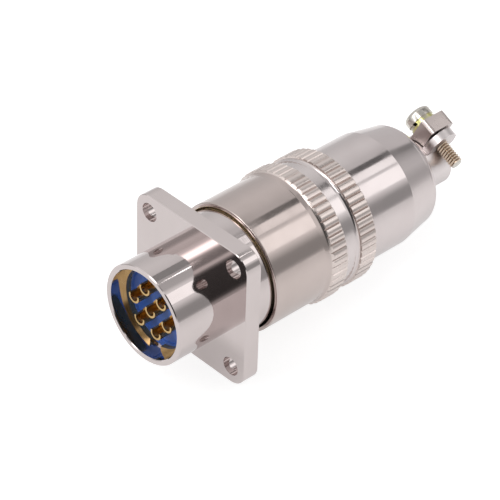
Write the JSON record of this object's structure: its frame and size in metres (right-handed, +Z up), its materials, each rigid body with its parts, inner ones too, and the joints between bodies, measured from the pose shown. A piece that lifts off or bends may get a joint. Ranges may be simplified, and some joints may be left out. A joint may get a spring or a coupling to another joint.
{
  "type": "circular electrical connector",
  "caption": "Mated aviation plug: square-flange receptacle and push-pull plug with a knurled coupling sleeve, a knurled backshell and a screw-down cable clamp.",
  "frame": {"origin": "centre of the mounting flange's rear face, on the connector's axis", "axes": "+X along the axis towards the cable end, +Z up, flange edges along Y and Z"},
  "size_m": [0.0688, 0.0264, 0.0264],
  "materials": {
    "receptacle_shell": "polished nickel plate on brass",
    "receptacle_insulator_rear": "blue moulded plastic",
    "receptacle_insulator_front": "blue moulded plastic",
    "receptacle_pins": "gold plate on copper alloy",
    "receptacle_retaining_ring": "plain brass",
    "plug_shell": "nickel plate on brass",
    "lock_collet": "spring bronze",
    "barrel_seal_ring": "black rubber",
    "plug_insulator_front": "blue moulded plastic",
    "plug_insulator_rear": "blue moulded plastic",
    "plug_sockets": "gold plate on copper alloy",
    "plug_retaining_ring": "plain brass",
    "coupling_sleeve": "polished nickel plate on brass",
    "sleeve_spring": "spring steel wire",
    "backshell": "polished nickel plate on brass",
    "backshell_gasket": "black rubber",
    "clamp_saddle": "nickel plate",
    "clamp_screws": "nickel-plated steel",
    "clamp_plain_washers": "yellow-passivated zinc on steel",
    "clamp_spring_washers": "yellow-passivated zinc on steel"
  },
  "bodies": {
    "receptacle": {"receptacle_shell": "receptacle_shell", "receptacle_insulator_rear": "receptacle_insulator_rear", "receptacle_insulator_front": "receptacle_insulator_front", "receptacle_pins": "receptacle_pins", "receptacle_retaining_ring": "receptacle_retaining_ring"},
    "plug": {"plug_shell": "plug_shell", "lock_collet": "lock_collet", "barrel_seal_ring": "barrel_seal_ring", "plug_insulator_front": "plug_insulator_front", "plug_insulator_rear": "plug_insulator_rear", "plug_sockets": "plug_sockets", "plug_retaining_ring": "plug_retaining_ring", "sleeve_spring": "sleeve_spring", "backshell": "backshell", "backshell_gasket": "backshell_gasket", "clamp_saddle": "clamp_saddle", "clamp_screws": "clamp_screws", "clamp_plain_washers": "clamp_plain_washers", "clamp_spring_washers": "clamp_spring_washers"},
    "sleeve": {"coupling_sleeve": "coupling_sleeve"}
  },
  "joints": [
    {"name": "unmate", "type": "slide", "parent": "receptacle", "child": "plug", "axis": [1, 0, 0], "range_m": [0, 0.02], "deforming": ["lock_collet"]},
    {"name": "sleeve_pull", "type": "slide", "parent": "plug", "child": "sleeve", "axis": [1, 0, 0], "range_m": [0, 0.0025], "stiffness_N_per_m": 1000, "springref_m": -0.004, "deforming": ["sleeve_spring"]}
  ]
}
